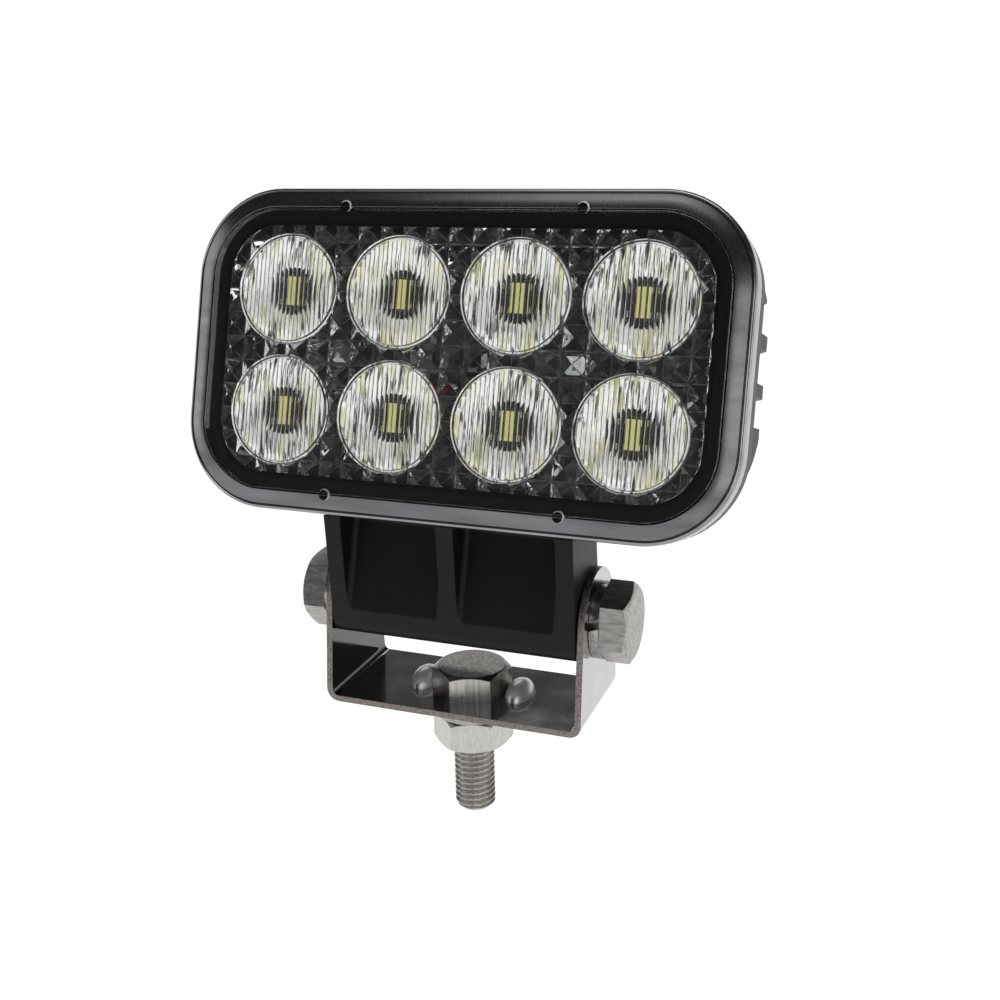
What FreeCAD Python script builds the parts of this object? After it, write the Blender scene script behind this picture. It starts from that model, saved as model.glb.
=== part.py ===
import FreeCAD
import Part
import math
import os
from FreeCAD import Vector

# Fog light: an eight-LED lamp head that tilts in a U-shaped bracket, which hangs on one vertical bolt.
# Millimetres. X is to the right, Y runs from the lens to the heat sink, Z is up.
# The origin is on the mounting bolt's axis, at the lower face of its nut.

# mounting bolt and what it clamps
THREAD_R = 5.0
THREAD_PITCH_R = 4.513
HEX_FLATS = 17.0
HEX_CHAMFER_R = 8.1
HEX_ANGLE = 18.0
BOLT_HEAD_H = 6.4
BOLT_LENGTH = 32.0
BOLT_TIP_CHAMFER = 1.3
NUT_H = 8.0
SPRING_WASHER_R = 9.05
SPRING_WASHER_HOLE_R = 5.1
SPRING_WASHER_T = 2.2
SPRING_WASHER_SPLIT = 1.8
FLAT_WASHER_R = 10.0
FLAT_WASHER_HOLE_R = 5.25
FLAT_WASHER_T = 2.0

# U bracket of sheet steel
SHEET_T = 1.5
BRACKET_W = 64.4
BRACKET_D = 29.0
BEND_R = 3.0
ARM_TOP_R = 12.2
ARM_FOOT_H = 4.0
BUMP_X = 12.4
BUMP_HALF = (3.3, 5.6, 3.8)
BUMP_THINNING = 0.9
PLATE_Z = NUT_H + SPRING_WASHER_T + FLAT_WASHER_T
HEAD_SEAT_Z = PLATE_Z + SHEET_T

# pivot between the bracket and the lamp's foot
PIVOT_Z = PLATE_Z + 23.7
TILT = 16.4
HINGE_CLEARANCE = 0.06
ARM_GAP = 0.4
SCREW_GAP = 0.1
PIVOT_BOLT_LENGTH = 20.0
PIVOT_HEX_ANGLES = {"left": 20.0, "right": 51.4}
SPLIT_ANGLE = 78.0

# lamp head, drawn upright with its origin at the middle of the lens's front face
HEAD_W = 131.8
HEAD_H = 74.4
HEAD_R = 20.7
LENS_TO_PIVOT_Y = 25.5
HEAD_MID_Z = 56.3
FIT_GAP = 0.2

BEZEL_BACK = 6.5
BEZEL_EDGE = 1.5
BEZEL_LIP = 4.5
BEZEL_SKIRT = 2.0
LENS_INSET = 4.8
LENS_FLANGE_INSET = 2.3
LENS_FLANGE_Y = 2.4
LENS_BACK = 5.0
LENS_T = 3.0
LENS_WALL_INSET = 7.5
GASKET_BACK = 6.2

OPTIC_PITCH = 28.0
OPTIC_R = 12.75
COLLAR_T = 0.8
COLLAR_H = 1.0
COLUMNS = 4
ROWS = 2

BOARD_W = 113.0
BOARD_H = 56.0
BOARD_T = 1.6
BOARD_FRONT = 6.6
BOARD_CORNER_R = 12.0
PAD_T = 0.6
CAVITY_FLOOR = BOARD_FRONT + BOARD_T + PAD_T
CAVITY_INSET = 7.5
CAVITY_FLOOR_INSET = 7.9
SCREW_HOLE_R = 1.6

LED_SIDE = 7.8
LED_BASE_T = 0.7
LED_CHIP_W = 2.6
LED_CHIP_H = 6.6
LED_CHIP_T = 0.5
CUP_FRONT = 4.05
CUP_FRONT_R = 12.4
CUP_BACK = BOARD_FRONT
CUP_BACK_R = 6.3
CUP_BULGE = 0.9
CUP_WALL = 0.7

HOUSING_WALL_BACK = 13.5
SINK_CORNER_R = 26.0
FIN_BACK = 37.0
FIN_PITCH = 10.6
FIN_T = 2.7
FIN_LOWEST = -23.6
FIN_COUNT = 6
SHELF_T = 4.5
SHELF_BACK = 31.0
LOBE_TOP = 17.6
LOBE_BOTTOM = -10.4
LOBE_T = 5.0

# the foot, in the tilted frame with its origin on the pivot axis
FOOT_HALF_W = BRACKET_W / 2 - SHEET_T - ARM_GAP
FOOT_BOTTOM = -9.2
FOOT_FRONT_TOP = (-20.4, 18.8)
FOOT_FRONT_BOTTOM = (-10.3, FOOT_BOTTOM)
FOOT_REAR_BOTTOM = (6.5, FOOT_BOTTOM)
FOOT_REAR_MID = (6.9, 0.0)
FOOT_REAR_TOP = (-1.3, 19.0)
FOOT_JOIN = 22.5
FOOT_NOSE_R = 3.6
FOOT_BOSS_R = 10.0
FOOT_POCKET = (2.1, 26.2)
FOOT_POCKET_FLOOR = -12.4
FOOT_POCKET_Z = (-8.0, 19.4)
FOOT_POCKET_R = 1.6
TAPPED_DEPTH = 18.5

# what enters and leaves the back of the housing
GLAND_X = 0.0
GLAND_Z = -7.7
GLAND_BOSS_R = 10.5
GLAND_BOSS_BACK = 25.0
GLAND_HOLE_R = 6.05
GLAND_BORE_R = 3.25
VENT_X = 36.0
VENT_Z = 2.9
VENT_R = 3.6
WIRE_R = 0.8

X_AXIS = Vector(1, 0, 0)
Y_AXIS = Vector(0, 1, 0)
Z_AXIS = Vector(0, 0, 1)


def save(name, shape):
    shape.exportStep("parts/" + name + ".step")


def group(solids):
    return Part.makeCompound(solids)


def cylinder(radius, start, end):
    return Part.makeCylinder(radius, (end - start).Length, start, end - start)


def ring(outer_r, inner_r, start, end):
    return cylinder(outer_r, start, end).cut(cylinder(inner_r, start, end))


def box(low, high):
    return Part.makeBox(high[0] - low[0], high[1] - low[1], high[2] - low[2], Vector(*low))


def rounded_rectangle(width, height, radius, y):
    """A closed outline in the plane of the lens, at depth y."""
    x = width / 2
    z = height / 2
    corners = [(x - radius, z - radius, 0), (radius - x, z - radius, 90)]
    corners += [(radius - x, radius - z, 180), (x - radius, radius - z, 270)]
    arcs = []
    for cx, cz, start in corners:
        points = []
        for turn in (0, 45, 90):
            angle = math.radians(start + turn)
            points.append(Vector(cx + radius * math.cos(angle), y, cz + radius * math.sin(angle)))
        arcs.append(Part.Arc(*points).toShape())
    edges = []
    for index, arc in enumerate(arcs):
        following = arcs[(index + 1) % 4]
        edges.append(arc)
        edges.append(Part.makeLine(arc.Vertexes[-1].Point, following.Vertexes[0].Point))
    return Part.Wire(edges)


def shell_outline(sections, corner_r=HEAD_R):
    """A solid through sections of the head's outline, each (depth, how far inside the outline)."""
    wires = []
    for y, inset in sections:
        wires.append(rounded_rectangle(HEAD_W - 2 * inset, HEAD_H - 2 * inset, corner_r - inset, y))
    return Part.makeLoft(wires, True, True)


def hexagon_prism(height, angle, low_chamfer, high_chamfer):
    """A hexagon from z = 0 to height, turned by angle, with its corners chamfered at one or both ends."""
    corner_r = HEX_FLATS / math.sqrt(3)
    points = []
    for index in range(7):
        a = math.radians(angle + 60 * index)
        points.append(Vector(corner_r * math.cos(a), corner_r * math.sin(a), 0))
    shape = Part.Face(Part.makePolygon(points)).extrude(Vector(0, 0, height))
    wide_r = HEX_CHAMFER_R + height * math.sqrt(3)
    if high_chamfer:
        shape = shape.common(Part.makeCone(wide_r, HEX_CHAMFER_R, height))
    if low_chamfer:
        shape = shape.common(Part.makeCone(HEX_CHAMFER_R, wide_r, height))
    return shape


def lamp_place(shape):
    """Put a solid drawn about the middle of the lens into the tilted lamp head."""
    placed = shape.copy()
    placed.translate(Vector(0, -LENS_TO_PIVOT_Y, HEAD_MID_Z))
    return tilt_place(placed)


def tilt_place(shape):
    """Put a solid drawn about the pivot into the tilted lamp head."""
    placed = shape.copy()
    placed.rotate(Vector(0, 0, 0), X_AXIS, -TILT)
    placed.translate(Vector(0, 0, PIVOT_Z))
    return placed


def optic_centres():
    """Number, x and z of each optic, by rows from the upper left."""
    centres = []
    for row in range(ROWS):
        for column in range(COLUMNS):
            x = (column - (COLUMNS - 1) / 2) * OPTIC_PITCH
            z = ((ROWS - 1) / 2 - row) * OPTIC_PITCH
            centres.append((row * COLUMNS + column + 1, x, z))
    return centres


# bracket side


def u_sheet():
    """The bent strip, with its sides still square."""
    half = BRACKET_W / 2
    top = PIVOT_Z + ARM_TOP_R
    outer = box((-half, -BRACKET_D / 2, PLATE_Z), (half, BRACKET_D / 2, top + 1))
    inner_half = half - SHEET_T
    inner = box((-inner_half, -BRACKET_D / 2, HEAD_SEAT_Z), (inner_half, BRACKET_D / 2, top + 1))
    outer = outer.makeFillet(BEND_R, lower_edges(outer, PLATE_Z))
    inner = inner.makeFillet(BEND_R - SHEET_T, lower_edges(inner, HEAD_SEAT_Z))
    return outer.cut(inner)


def lower_edges(shape, z):
    """The edges of a box that run along Y at height z."""
    found = []
    for edge in shape.Edges:
        flat = abs(edge.BoundBox.ZMin - z) < 0.01 and edge.BoundBox.ZLength < 0.01
        if flat and edge.BoundBox.YLength > BRACKET_D - 0.01:
            found.append(edge)
    return found


def arm_side_view():
    """The bracket seen from the side: wide at the plate, and narrowing to a round top at the pivot."""
    half_d = BRACKET_D / 2
    low = PLATE_Z + ARM_FOOT_H
    reach = math.hypot(half_d, PIVOT_Z - low)
    angle = math.acos(ARM_TOP_R / reach) - math.atan2(PIVOT_Z - low, half_d)
    tangent_y = ARM_TOP_R * math.cos(angle)
    tangent_z = PIVOT_Z + ARM_TOP_R * math.sin(angle)
    points = [(-half_d, PLATE_Z), (half_d, PLATE_Z), (half_d, low), (tangent_y, tangent_z)]
    points += [(-tangent_y, tangent_z), (-half_d, low), (-half_d, PLATE_Z)]
    outline = Part.makePolygon([Vector(-BRACKET_W, y, z) for y, z in points])
    plate = Part.Face(outline).extrude(Vector(2 * BRACKET_W, 0, 0))
    top = cylinder(ARM_TOP_R, Vector(-BRACKET_W, 0, PIVOT_Z), Vector(BRACKET_W, 0, PIVOT_Z))
    return plate.fuse(top)


def bump(side, z, narrower):
    """The full egg shape that one pressed bump is half of. The bumps stop the bolt's head from turning."""
    matrix = FreeCAD.Matrix()
    matrix.scale(BUMP_HALF[0] - narrower, BUMP_HALF[1] - narrower, BUMP_HALF[2])
    shape = Part.makeSphere(1.0).transformGeometry(matrix)
    shape.translate(Vector(side * BUMP_X, 0, z))
    return shape


def mounting_bracket():
    sheet = u_sheet().common(arm_side_view())
    bolt_hole = cylinder(FLAT_WASHER_HOLE_R, Vector(0, 0, PLATE_Z - 1), Vector(0, 0, HEAD_SEAT_Z + 1))
    hinge_r = THREAD_R + HINGE_CLEARANCE
    hinge_hole = cylinder(hinge_r, Vector(-BRACKET_W, 0, PIVOT_Z), Vector(BRACKET_W, 0, PIVOT_Z))
    below = box((-BRACKET_W, -BRACKET_D, PLATE_Z - 9), (BRACKET_W, BRACKET_D, PLATE_Z + 0.7))
    for side in (-1, 1):
        sheet = sheet.fuse(bump(side, HEAD_SEAT_Z, 0.0).cut(below))
        sheet = sheet.cut(bump(side, PLATE_Z, BUMP_THINNING))
    return sheet.cut(bolt_hole).cut(hinge_hole).removeSplitter()


def mounting_bolt():
    """The shank inside the plate, washers and nut is drawn at the thread's pitch radius."""
    head = hexagon_prism(BOLT_HEAD_H, HEX_ANGLE, False, True)
    head.translate(Vector(0, 0, HEAD_SEAT_Z))
    tip = HEAD_SEAT_Z - BOLT_LENGTH
    thread_end = tip + BOLT_TIP_CHAMFER
    shank = cylinder(THREAD_PITCH_R, Vector(0, 0, 0), Vector(0, 0, HEAD_SEAT_Z))
    thread = cylinder(THREAD_R, Vector(0, 0, thread_end), Vector(0, 0, 0))
    point = Part.makeCone(THREAD_R - BOLT_TIP_CHAMFER, THREAD_R, BOLT_TIP_CHAMFER, Vector(0, 0, tip))
    return head.fuse([shank, thread, point])


def mounting_nut():
    nut = hexagon_prism(NUT_H, HEX_ANGLE, True, True)
    return nut.cut(cylinder(THREAD_PITCH_R, Vector(0, 0, 0), Vector(0, 0, NUT_H)))


def spring_washer(split_angle):
    """A split ring from z = 0 up, cut through on a slant."""
    washer = ring(SPRING_WASHER_R, SPRING_WASHER_HOLE_R, Vector(0, 0, 0), Vector(0, 0, SPRING_WASHER_T))
    half = SPRING_WASHER_SPLIT / 2
    split = box((2.0, -half, -2.0), (SPRING_WASHER_R + 2, half, SPRING_WASHER_T + 2))
    split.rotate(Vector(0, 0, SPRING_WASHER_T / 2), X_AXIS, 20)
    split.rotate(Vector(0, 0, 0), Z_AXIS, split_angle)
    return washer.cut(split)


def mounting_spring_washer():
    washer = spring_washer(SPLIT_ANGLE)
    washer.translate(Vector(0, 0, NUT_H))
    return washer


def mounting_flat_washer():
    low = NUT_H + SPRING_WASHER_T
    return ring(FLAT_WASHER_R, FLAT_WASHER_HOLE_R, Vector(0, 0, low), Vector(0, 0, PLATE_Z))


# pivot fasteners, which screw into the foot and turn with the lamp


def pivot_place(shape, side):
    """Turn a solid that stands on z = 0 so that it points outwards from one arm of the bracket."""
    sign = -1 if side == "left" else 1
    placed = shape.copy()
    placed.rotate(Vector(0, 0, 0), Y_AXIS, 90 * sign)
    placed.translate(Vector(sign * (BRACKET_W / 2 + SCREW_GAP), 0, PIVOT_Z))
    return placed


def pivot_bolt(side):
    head = hexagon_prism(BOLT_HEAD_H, PIVOT_HEX_ANGLES[side], False, True)
    shank = cylinder(THREAD_R, Vector(0, 0, 1 - PIVOT_BOLT_LENGTH), Vector(0, 0, 0))
    tip = Part.makeCone(THREAD_R - 1, THREAD_R, 1, Vector(0, 0, -PIVOT_BOLT_LENGTH))
    bolt = head.fuse([shank, tip])
    bolt.translate(Vector(0, 0, SPRING_WASHER_T))
    return pivot_place(bolt, side)


def pivot_spring_washer(side):
    sign = -1 if side == "left" else 1
    return pivot_place(spring_washer(180 + sign * SPLIT_ANGLE), side)


# lamp head


def fin_height(index):
    return FIN_LOWEST + index * FIN_PITCH


def fin_slabs():
    """Level slabs that become the fins, the shelf over the foot, and the end lobes of the side walls."""
    slabs = []
    far = HEAD_W
    for index in range(FIN_COUNT):
        z = fin_height(index)
        slabs.append(box((-far, 10, z - FIN_T / 2), (far, FIN_BACK, z + FIN_T / 2)))
    shelf_top = SHELF_T - HEAD_H / 2
    slabs.append(box((-far, 10, -HEAD_H), (far, SHELF_BACK, shelf_top)))
    return slabs


def heat_sink():
    fin_space = [(10.0, 1.2), (13.0, 0.35), (20.0, 0.1), (25.0, 0.8), (31.0, 3.4), (FIN_BACK, 8.0)]
    envelope = shell_outline(fin_space, SINK_CORNER_R)
    lobe_space = shell_outline([(10.0, 1.2), (13.0, 0.35), (20.0, 0.1), (22.5, 1.3)], SINK_CORNER_R)
    lobe_space = lobe_space.cut(shell_outline([(HOUSING_WALL_BACK, LOBE_T), (FIN_BACK, LOBE_T)]))
    far = HEAD_W
    upper = lobe_space.common(box((-far, 0, LOBE_TOP), (far, FIN_BACK, far)))
    lower = lobe_space.common(box((-far, 0, -far), (far, FIN_BACK, LOBE_BOTTOM)))
    solids = [upper, lower]
    for slab in fin_slabs():
        solids.append(envelope.common(slab))
    return solids


def foot():
    """The slanted block under the lamp that takes the pivot bolts, drawn about the pivot."""
    join_y = BEZEL_BACK + FIT_GAP - LENS_TO_PIVOT_Y
    points = [FOOT_FRONT_BOTTOM, FOOT_REAR_BOTTOM, FOOT_REAR_MID, FOOT_REAR_TOP]
    points += [(FOOT_REAR_TOP[0], FOOT_JOIN), (join_y, FOOT_JOIN), (join_y, FOOT_FRONT_TOP[1])]
    points += [FOOT_FRONT_TOP, FOOT_FRONT_BOTTOM]
    outline = Part.makePolygon([Vector(-FOOT_HALF_W, y, z) for y, z in points])
    block = Part.Face(outline).extrude(Vector(2 * FOOT_HALF_W, 0, 0))
    nose_y, nose_z = FOOT_FRONT_BOTTOM
    nose = [edge for edge in block.Edges if at_point(edge, nose_y, nose_z)]
    block = block.makeFillet(FOOT_NOSE_R, nose)
    left = Vector(-FOOT_HALF_W, 0, 0)
    right = Vector(FOOT_HALF_W, 0, 0)
    wide = FOOT_HALF_W + 1
    boss = cylinder(FOOT_BOSS_R, left, right)
    boss = boss.cut(box((-wide, -20, -20), (wide, 20, FOOT_BOTTOM)))
    boss = boss.cut(box((-wide, -20, -20), (wide, 0, 20)))
    block = block.fuse(boss)
    for sign in (-1, 1):
        block = block.cut(foot_pocket(sign))
        mouth = Vector(sign * wide, 0, 0)
        floor = Vector(sign * (FOOT_HALF_W - TAPPED_DEPTH), 0, 0)
        block = block.cut(cylinder(THREAD_R + 0.1, floor, mouth))
    return block


def at_point(edge, y, z):
    """True for an edge that runs along X at that y and z."""
    bounds = edge.BoundBox
    straight = bounds.YLength < 0.01 and bounds.ZLength < 0.01
    return straight and abs(bounds.YMin - y) < 0.01 and abs(bounds.ZMin - z) < 0.01


def foot_pocket(sign):
    """The cored-out hollow in the front of the foot, on one side of its middle rib."""
    near, far = FOOT_POCKET
    low_x = min(sign * near, sign * far)
    high_x = max(sign * near, sign * far)
    hollow = box((low_x, -40, FOOT_POCKET_Z[0]), (high_x, FOOT_POCKET_FLOOR, FOOT_POCKET_Z[1]))
    deep = [edge for edge in hollow.Edges if edge.BoundBox.YLength > 1 or edge.BoundBox.YMin > -20]
    return hollow.makeFillet(FOOT_POCKET_R, deep)


def board_screw_places():
    return [(sign * OPTIC_PITCH, z) for sign in (-1, 1) for z in (0.0,)]


def gland_axis(y):
    return Vector(GLAND_X, y, GLAND_Z)


def housing():
    neck = shell_outline([(GASKET_BACK, BEZEL_SKIRT + FIT_GAP), (BEZEL_BACK, BEZEL_SKIRT + FIT_GAP)])
    walls = shell_outline([(BEZEL_BACK, 0.0), (12.5, 0.2), (HOUSING_WALL_BACK, 0.9)])
    cavity = shell_outline([(0.0, CAVITY_INSET), (GASKET_BACK, CAVITY_INSET), (CAVITY_FLOOR, CAVITY_FLOOR_INSET)])
    gland_boss = cylinder(GLAND_BOSS_R, gland_axis(CAVITY_FLOOR), gland_axis(GLAND_BOSS_BACK))
    gland_room = cylinder(GLAND_BOSS_R, gland_axis(GLAND_BOSS_BACK), gland_axis(FIN_BACK + 1))
    foot_block = foot()
    foot_block.translate(Vector(0, LENS_TO_PIVOT_Y, -HEAD_MID_Z))
    body = walls.fuse([neck, gland_boss, foot_block] + heat_sink())
    body = body.cut(cavity)
    body = body.cut(gland_room)
    body = body.cut(cylinder(GLAND_HOLE_R, gland_axis(0), gland_axis(FIN_BACK)))
    vent = Vector(VENT_X, CAVITY_FLOOR - 1, VENT_Z)
    body = body.cut(cylinder(1.5, vent, vent + Vector(0, 12, 0)))
    for x, z in board_screw_places():
        start = Vector(x, CAVITY_FLOOR - 1, z)
        body = body.cut(cylinder(SCREW_HOLE_R, start, start + Vector(0, 3.6, 0)))
    return lamp_place(body.removeSplitter())


def bezel_frame():
    """The metal frame that holds the lens down: a bevelled lip and a short skirt."""
    outside = [(0.0, BEZEL_LIP), (0.45, BEZEL_LIP - 3.0), (0.75, 0.6), (BEZEL_EDGE, 0.0), (BEZEL_BACK, 0.0)]
    frame = shell_outline(outside)
    frame = frame.cut(shell_outline([(-1.0, BEZEL_LIP), (BEZEL_BACK + 1, BEZEL_LIP)]))
    frame = frame.cut(shell_outline([(LENS_FLANGE_Y - FIT_GAP, BEZEL_SKIRT), (BEZEL_BACK + 1, BEZEL_SKIRT)]))
    return lamp_place(frame)


def lens_cover():
    """The clear front: a flat window that fills the frame, a flange behind its lip, and eight round collars."""
    window = shell_outline([(0.0, LENS_INSET), (LENS_BACK, LENS_INSET)])
    flange = shell_outline([(LENS_FLANGE_Y, LENS_FLANGE_INSET), (LENS_BACK, LENS_FLANGE_INSET)])
    hollow = shell_outline([(LENS_T, LENS_WALL_INSET), (LENS_BACK + 1, LENS_WALL_INSET)])
    cover = window.fuse(flange).cut(hollow)
    for number, x, z in optic_centres():
        start = Vector(x, LENS_T, z)
        cover = cover.fuse(ring(OPTIC_R, OPTIC_R - COLLAR_T, start, start + Vector(0, COLLAR_H, 0)))
    return lamp_place(cover.removeSplitter())


def lens_gasket():
    outside = shell_outline([(LENS_BACK, LENS_FLANGE_INSET + 0.3), (GASKET_BACK, LENS_FLANGE_INSET + 0.3)])
    return lamp_place(outside.cut(shell_outline([(0.0, LENS_WALL_INSET), (BEZEL_BACK, LENS_WALL_INSET)])))


def plate(width, height, front, back):
    """A rounded plate with holes for the board screws and the supply wires."""
    outline = rounded_rectangle(width, height, BOARD_CORNER_R, front)
    solid = Part.Face(outline).extrude(Vector(0, back - front, 0))
    for x, z in board_screw_places():
        solid = solid.cut(cylinder(SCREW_HOLE_R, Vector(x, 0, z), Vector(x, back + 1, z)))
    return solid.cut(cylinder(2.4, gland_axis(0), gland_axis(back + 1)))


def led_board():
    return lamp_place(plate(BOARD_W, BOARD_H, BOARD_FRONT, BOARD_FRONT + BOARD_T))


def thermal_pad():
    return lamp_place(plate(BOARD_W - 4, BOARD_H - 4, BOARD_FRONT + BOARD_T, CAVITY_FLOOR))


def centred_box(x, z, width, height, front, back):
    return box((x - width / 2, front, z - height / 2), (x + width / 2, back, z + height / 2))


def led(x, z):
    chip_back = BOARD_FRONT - LED_BASE_T
    base = centred_box(x, z, LED_SIDE, LED_SIDE, chip_back, BOARD_FRONT)
    chip = centred_box(x, z, LED_CHIP_W, LED_CHIP_H, chip_back - LED_CHIP_T, chip_back)
    return lamp_place(base.fuse(chip))


def reflector(x, z):
    """A turned cup that opens towards the lens."""
    mid_y = (CUP_FRONT + CUP_BACK) / 2
    mid_r = (CUP_FRONT_R + CUP_BACK_R) / 2 + CUP_BULGE
    front = Vector(CUP_FRONT_R - CUP_WALL, CUP_FRONT, 0)
    back = Vector(CUP_BACK_R - CUP_WALL, CUP_BACK, 0)
    inner = Part.Arc(front, Vector(mid_r - CUP_WALL, mid_y, 0), back).toShape()
    outer_back = Vector(CUP_BACK_R, CUP_BACK, 0)
    outer_front = Vector(CUP_FRONT_R, CUP_FRONT, 0)
    outer = Part.Arc(outer_back, Vector(mid_r, mid_y, 0), outer_front).toShape()
    rim = Part.makeLine(outer_front, front)
    base = Part.makeLine(back, outer_back)
    profile = Part.Face(Part.Wire([inner, base, outer, rim]))
    cup = profile.revolve(Vector(0, 0, 0), Y_AXIS, 360)
    cup.translate(Vector(x, 0, z))
    return lamp_place(cup)


def board_screws():
    screws = []
    for x, z in board_screw_places():
        head = cylinder(2.9, Vector(x, BOARD_FRONT - 2.2, z), Vector(x, BOARD_FRONT, z))
        shank = cylinder(1.5, Vector(x, BOARD_FRONT, z), Vector(x, CAVITY_FLOOR + 2.4, z))
        slot = centred_box(x, z, 3.6, 0.8, BOARD_FRONT - 3, BOARD_FRONT - 1.2)
        cross = centred_box(x, z, 0.8, 3.6, BOARD_FRONT - 3, BOARD_FRONT - 1.2)
        screws.append(head.fuse(shank).cut(slot).cut(cross))
    return lamp_place(group(screws))


def power_inductor():
    body = centred_box(-1.2, 2.6, 6.0, 6.0, BOARD_FRONT - 2.2, BOARD_FRONT)
    return lamp_place(body.makeChamfer(0.6, [edge for edge in body.Edges if edge.BoundBox.YLength > 1]))


def filter_capacitors():
    cans = []
    for x in (-8.6, 8.6):
        can = cylinder(1.5, Vector(x, BOARD_FRONT - 2.4, 0), Vector(x, BOARD_FRONT - 0.6, 0))
        base = centred_box(x, 0, 3.2, 3.2, BOARD_FRONT - 0.6, BOARD_FRONT)
        cans.append(can.fuse(base))
    return lamp_place(group(cans))


def driver_chips():
    chips = []
    for x, z, width, height in ((4.4, 1.6, 3.9, 4.9), (-40.0, 0.0, 3.0, 3.0), (40.0, 0.0, 3.0, 3.0)):
        chips.append(centred_box(x, z, width, height, BOARD_FRONT - 1.5, BOARD_FRONT))
    return lamp_place(group(chips))


def chip_resistors():
    parts = []
    for x, z in ((-5.6, 2.9), (-5.8, 0.2), (-3.2, -2.6), (4.0, -3.4), (-45.5, 0.0), (45.5, 0.0)):
        parts.append(centred_box(x, z, 2.0, 1.25, BOARD_FRONT - 0.6, BOARD_FRONT))
    return lamp_place(group(parts))


def feed_wire(side):
    """One short lead from its solder joint on the board, over the hole's edge and into the gland."""
    start = Vector(GLAND_X + side * 4.6, BOARD_FRONT - 0.05, GLAND_Z + 1.6)
    top = Vector(GLAND_X + side * 4.0, BOARD_FRONT - 1.7, GLAND_Z + 1.4)
    over = Vector(GLAND_X + side * 1.1, BOARD_FRONT - 1.7, GLAND_Z)
    inside = Vector(GLAND_X + side * 1.1, BOARD_FRONT + 4.2, GLAND_Z)
    points = [start, top, over, inside]
    pieces = []
    for first, second in zip(points, points[1:]):
        pieces.append(cylinder(WIRE_R, first, second))
    joints = [Part.makeSphere(WIRE_R, point) for point in points[1:-1]]
    lead = pieces[0].fuse(pieces[1:] + joints).removeSplitter()
    behind_board = box((-20, BOARD_FRONT, GLAND_Z + 0.9), (20, BOARD_FRONT + 2, GLAND_Z + 9))
    return lamp_place(lead.cut(behind_board))


def cable_gland():
    """A moulded gland in the back wall: threaded neck, hexagon, and a domed clamping nut."""
    neck = cylinder(6.0, gland_axis(CAVITY_FLOOR + 2.2), gland_axis(GLAND_BOSS_BACK))
    hexagon = hexagon_prism(4.5, 30.0, True, True)
    hexagon.rotate(Vector(0, 0, 0), X_AXIS, -90)
    hexagon.translate(gland_axis(GLAND_BOSS_BACK))
    dome_start = GLAND_BOSS_BACK + 4.5
    dome = cylinder(7.4, gland_axis(dome_start), gland_axis(dome_start + 7))
    dome_tip = Part.makeCone(7.4, 4.8, 3.0, gland_axis(dome_start + 7), Y_AXIS)
    body = neck.fuse([hexagon, dome, dome_tip])
    return lamp_place(body.cut(cylinder(GLAND_BORE_R, gland_axis(0), gland_axis(60))))


def breather_vent():
    start = Vector(VENT_X, HOUSING_WALL_BACK, VENT_Z)
    cap = cylinder(VENT_R, start, start + Vector(0, 3.2, 0))
    stem = cylinder(1.4, start - Vector(0, 2.6, 0), start)
    notch = centred_box(VENT_X, VENT_Z, 10.0, 1.0, HOUSING_WALL_BACK + 2.2, HOUSING_WALL_BACK + 4)
    return lamp_place(cap.fuse(stem).cut(notch))


os.makedirs("parts", exist_ok=True)

save("mounting_bracket", mounting_bracket())
save("mounting_bolt", mounting_bolt())
save("mounting_nut", mounting_nut())
save("mounting_spring_washer", mounting_spring_washer())
save("mounting_flat_washer", mounting_flat_washer())
for side_name in ("left", "right"):
    save("pivot_bolt_" + side_name, pivot_bolt(side_name))
    save("pivot_spring_washer_" + side_name, pivot_spring_washer(side_name))
save("housing", housing())
save("bezel_frame", bezel_frame())
save("lens_cover", lens_cover())
save("lens_gasket", lens_gasket())
save("led_board", led_board())
save("thermal_pad", thermal_pad())
for optic, optic_x, optic_z in optic_centres():
    save("led_" + str(optic), led(optic_x, optic_z))
    save("reflector_" + str(optic), reflector(optic_x, optic_z))
save("board_screws", board_screws())
save("power_inductor", power_inductor())
save("filter_capacitors", filter_capacitors())
save("driver_chips", driver_chips())
save("chip_resistors", chip_resistors())
save("feed_wire_red", feed_wire(-1))
save("feed_wire_black", feed_wire(1))
save("cable_gland", cable_gland())
save("breather_vent", breather_vent())
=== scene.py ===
import math
import random

import bmesh
import bpy
from mathutils import Matrix, Vector


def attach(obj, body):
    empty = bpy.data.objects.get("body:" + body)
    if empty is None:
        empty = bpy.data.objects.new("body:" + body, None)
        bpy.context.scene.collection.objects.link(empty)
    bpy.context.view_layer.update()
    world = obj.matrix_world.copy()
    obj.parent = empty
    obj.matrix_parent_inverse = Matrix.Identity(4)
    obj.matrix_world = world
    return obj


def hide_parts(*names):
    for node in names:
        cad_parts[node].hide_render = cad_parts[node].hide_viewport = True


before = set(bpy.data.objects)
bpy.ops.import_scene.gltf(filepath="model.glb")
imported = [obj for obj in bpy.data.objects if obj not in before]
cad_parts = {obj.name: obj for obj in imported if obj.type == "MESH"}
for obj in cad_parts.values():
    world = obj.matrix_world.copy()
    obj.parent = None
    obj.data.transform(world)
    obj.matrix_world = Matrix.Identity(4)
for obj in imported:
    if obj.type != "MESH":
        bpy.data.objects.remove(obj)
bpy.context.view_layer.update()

# Looks of the LED fog light. Lengths are in millimetres, except the floor's and the soft boxes', in metres.
# "Head" coordinates are about the middle of the lens's front face: x right, y into the lamp, z up the lens.

MM = 0.001
TILT = math.radians(16.4)
PIVOT_Z = 35.9
LENS_TO_PIVOT_Y = 25.5
HEAD_MID_Z = 56.3
HEAD_W = 131.8
HEAD_H = 74.4
HEAD_R = 20.7

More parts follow.
